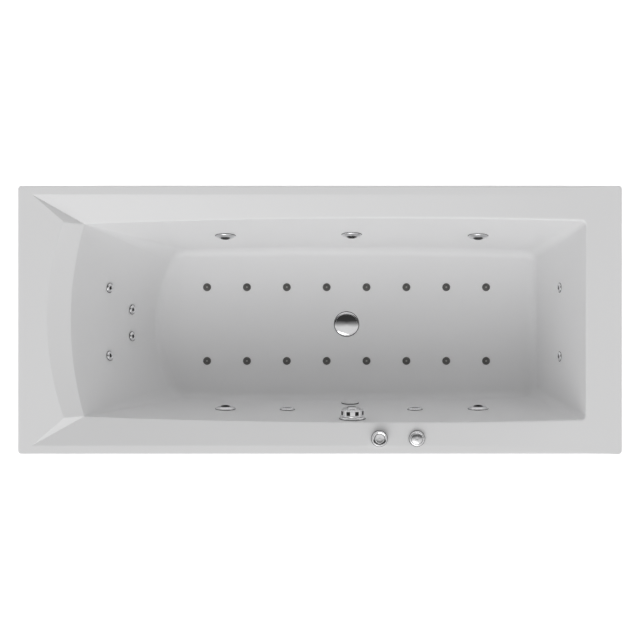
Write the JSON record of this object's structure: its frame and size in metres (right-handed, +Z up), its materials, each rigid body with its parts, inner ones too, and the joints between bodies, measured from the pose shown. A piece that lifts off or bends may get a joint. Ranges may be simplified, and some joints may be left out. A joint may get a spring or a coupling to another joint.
{
  "type": "jetted bathtub",
  "caption": "Rectangular drop-in acrylic jetted bath with side jets, floor air jets, lights, pop-up waste and deck controls on a levelling steel frame.",
  "frame": {"origin": "middle of the tub's footprint, on the floor that the feet stand on", "axes": "+X along the tub towards the foot end, +Z up, -Y the long side that carries the controls"},
  "size_m": [1.8, 0.8, 0.6223],
  "materials": {
    "acrylic": "polished sanitary acrylic",
    "chrome": "polished chrome plate",
    "nozzle_grey": "dark grey moulded nozzle",
    "air_cap_grey": "grey moulded cap with a bright centre",
    "lens": "frosted lamp lens",
    "housing_plastic": "white moulded fitting body",
    "pipe_plastic": "rigid grey pressure pipe",
    "hose": "flexible clear-grey hose",
    "seal_rubber": "black gasket",
    "plywood": "sealed plywood",
    "galvanised_steel": "zinc-plated square tube",
    "motor_paint": "cast aluminium motor body",
    "pump_plastic": "black glass-filled plastic",
    "box_plastic": "light grey moulded box",
    "strainer_white": "white moulded strainer"
  },
  "bodies": {
    "tub": {"tub_shell": "acrylic", "base_board": "plywood", "frame_rails": "galvanised_steel", "frame_crossbars": "galvanised_steel", "frame_uprights": "galvanised_steel", "side_jet_housings": "housing_plastic", "side_jet_seals": "seal_rubber", "fitting_nuts": "housing_plastic", "micro_jet_faces": "chrome", "micro_jet_housings": "housing_plastic", "micro_jet_hoses": "hose", "air_jet_caps": "air_cap_grey", "air_jet_housings": "housing_plastic", "light_bezels": "chrome", "light_lenses": "lens", "light_housings": "housing_plastic", "suction_strainer": "strainer_white", "suction_housing": "housing_plastic", "suction_pipe": "pipe_plastic", "drain_flange": "chrome", "drain_trap": "housing_plastic", "overflow_rosette": "chrome", "overflow_elbow": "housing_plastic", "overflow_pipe": "pipe_plastic", "regulator_valve": "housing_plastic", "button_bezel": "chrome", "pump_motor": "motor_paint", "motor_cowl": "pump_plastic", "pump_volute": "pump_plastic", "pump_board": "plywood", "air_blower": "pump_plastic", "pressure_pipe": "pipe_plastic", "air_pipe": "pipe_plastic", "air_manifold": "pipe_plastic", "control_box": "box_plastic", "control_box_lid": "box_plastic"},
    "overflow_knob": {"overflow_knob": "chrome"},
    "drain_plug": {"drain_plug": "chrome"},
    "regulator_knob": {"regulator_knob": "chrome"},
    "start_button": {"start_button": "chrome"},
    "pump_rotor": {"pump_rotor": "pump_plastic"},
    "blower_fan": {"blower_fan": "pump_plastic"},
    "side_jet_ring_1": {"side_jet_ring_1": "chrome"},
    "side_jet_nozzle_1": {"side_jet_nozzle_1": "nozzle_grey"},
    "foot_1": {"foot_1": "galvanised_steel"},
    "side_jet_ring_2": {"side_jet_ring_2": "chrome"},
    "side_jet_nozzle_2": {"side_jet_nozzle_2": "nozzle_grey"},
    "foot_2": {"foot_2": "galvanised_steel"},
    "side_jet_ring_3": {"side_jet_ring_3": "chrome"},
    "side_jet_nozzle_3": {"side_jet_nozzle_3": "nozzle_grey"},
    "foot_3": {"foot_3": "galvanised_steel"},
    "side_jet_ring_4": {"side_jet_ring_4": "chrome"},
    "side_jet_nozzle_4": {"side_jet_nozzle_4": "nozzle_grey"},
    "foot_4": {"foot_4": "galvanised_steel"},
    "side_jet_ring_5": {"side_jet_ring_5": "chrome"},
    "side_jet_nozzle_5": {"side_jet_nozzle_5": "nozzle_grey"},
    "foot_5": {"foot_5": "galvanised_steel"},
    "side_jet_ring_6": {"side_jet_ring_6": "chrome"},
    "side_jet_nozzle_6": {"side_jet_nozzle_6": "nozzle_grey"},
    "foot_6": {"foot_6": "galvanised_steel"}
  },
  "joints": [
    {"name": "overflow_turn", "type": "hinge", "parent": "tub", "child": "overflow_knob", "pos_m": [0.098, -0.29651, 0.53], "axis": [-0.0025, 0.9925, 0.1225], "range_deg": [0, 90]},
    {"name": "plug_lift", "type": "slide", "parent": "tub", "child": "drain_plug", "axis": [0, 0, 1], "range_m": [0, 0.012]},
    {"name": "regulator_turn", "type": "hinge", "parent": "tub", "child": "regulator_knob", "pos_m": [0.1767, -0.353, 0.6], "axis": [0, 0, 1], "range_deg": [0, 180]},
    {"name": "button_press", "type": "slide", "parent": "tub", "child": "start_button", "axis": [0, 0, -1], "range_m": [0, 0.004], "stiffness_N_per_m": 300, "springref_m": -0.002},
    {"name": "jet_ring_turn_1", "type": "hinge", "parent": "tub", "child": "side_jet_ring_1", "pos_m": [-0.2985, -0.27331, 0.368], "axis": [0.0106, 0.9934, 0.1145], "range_deg": [0, 90]},
    {"name": "jet_ring_turn_2", "type": "hinge", "parent": "tub", "child": "side_jet_ring_2", "pos_m": [0.1, -0.27696, 0.368], "axis": [-0.0076, 0.9929, 0.1189], "range_deg": [0, 90]},
    {"name": "jet_ring_turn_3", "type": "hinge", "parent": "tub", "child": "side_jet_ring_3", "pos_m": [0.4985, -0.27281, 0.36801], "axis": [-0.0169, 0.9922, 0.1238], "range_deg": [0, 90]},
    {"name": "jet_ring_turn_4", "type": "hinge", "parent": "tub", "child": "side_jet_ring_4", "pos_m": [-0.2985, 0.27331, 0.368], "axis": [0.0106, -0.9934, 0.1145], "range_deg": [0, 90]},
    {"name": "jet_ring_turn_5", "type": "hinge", "parent": "tub", "child": "side_jet_ring_5", "pos_m": [0.1, 0.27696, 0.368], "axis": [-0.0076, -0.9929, 0.1189], "range_deg": [0, 90]},
    {"name": "jet_ring_turn_6", "type": "hinge", "parent": "tub", "child": "side_jet_ring_6", "pos_m": [0.4985, 0.27281, 0.36801], "axis": [-0.0169, -0.9922, 0.1238], "range_deg": [0, 90]},
    {"name": "jet_nozzle_tilt_1", "type": "hinge", "parent": "side_jet_ring_1", "child": "side_jet_nozzle_1", "pos_m": [-0.29849, -0.27232, 0.36811], "axis": [0.9999, -0.0106, 0], "range_deg": [-15, 15]},
    {"name": "jet_nozzle_tilt_2", "type": "hinge", "parent": "side_jet_ring_2", "child": "side_jet_nozzle_2", "pos_m": [0.09999, -0.27596, 0.36812], "axis": [1, 0.0077, 0], "range_deg": [-15, 15]},
    {"name": "jet_nozzle_tilt_3", "type": "hinge", "parent": "side_jet_ring_3", "child": "side_jet_nozzle_3", "pos_m": [0.49848, -0.27182, 0.36813], "axis": [0.9999, 0.017, 0], "range_deg": [-15, 15]},
    {"name": "jet_nozzle_tilt_4", "type": "hinge", "parent": "side_jet_ring_4", "child": "side_jet_nozzle_4", "pos_m": [-0.29849, 0.27232, 0.36811], "axis": [0.9999, 0.0106, 0], "range_deg": [-15, 15]},
    {"name": "jet_nozzle_tilt_5", "type": "hinge", "parent": "side_jet_ring_5", "child": "side_jet_nozzle_5", "pos_m": [0.09999, 0.27596, 0.36812], "axis": [1, -0.0077, 0], "range_deg": [-15, 15]},
    {"name": "jet_nozzle_tilt_6", "type": "hinge", "parent": "side_jet_ring_6", "child": "side_jet_nozzle_6", "pos_m": [0.49848, 0.27182, 0.36813], "axis": [0.9999, -0.017, 0], "range_deg": [-15, 15]},
    {"name": "foot_level_1", "type": "slide", "parent": "tub", "child": "foot_1", "axis": [0, 0, 1], "range_m": [-0.015, 0.015]},
    {"name": "foot_level_2", "type": "slide", "parent": "tub", "child": "foot_2", "axis": [0, 0, 1], "range_m": [-0.015, 0.015]},
    {"name": "foot_level_3", "type": "slide", "parent": "tub", "child": "foot_3", "axis": [0, 0, 1], "range_m": [-0.015, 0.015]},
    {"name": "foot_level_4", "type": "slide", "parent": "tub", "child": "foot_4", "axis": [0, 0, 1], "range_m": [-0.015, 0.015]},
    {"name": "foot_level_5", "type": "slide", "parent": "tub", "child": "foot_5", "axis": [0, 0, 1], "range_m": [-0.015, 0.015]},
    {"name": "foot_level_6", "type": "slide", "parent": "tub", "child": "foot_6", "axis": [0, 0, 1], "range_m": [-0.015, 0.015]},
    {"name": "pump_spin", "type": "hinge", "parent": "tub", "child": "pump_rotor", "pos_m": [-0.71, -0.13, 0.22457], "axis": [0, 1, 0], "continuous": true},
    {"name": "blower_spin", "type": "hinge", "parent": "tub", "child": "blower_fan", "pos_m": [-0.71, 0.268, 0.148], "axis": [0, 0, 1], "continuous": true}
  ],
  "couplings": [
    {"joint": "plug_lift", "follows": "overflow_turn", "m_per_rad": 0.0076}
  ]
}
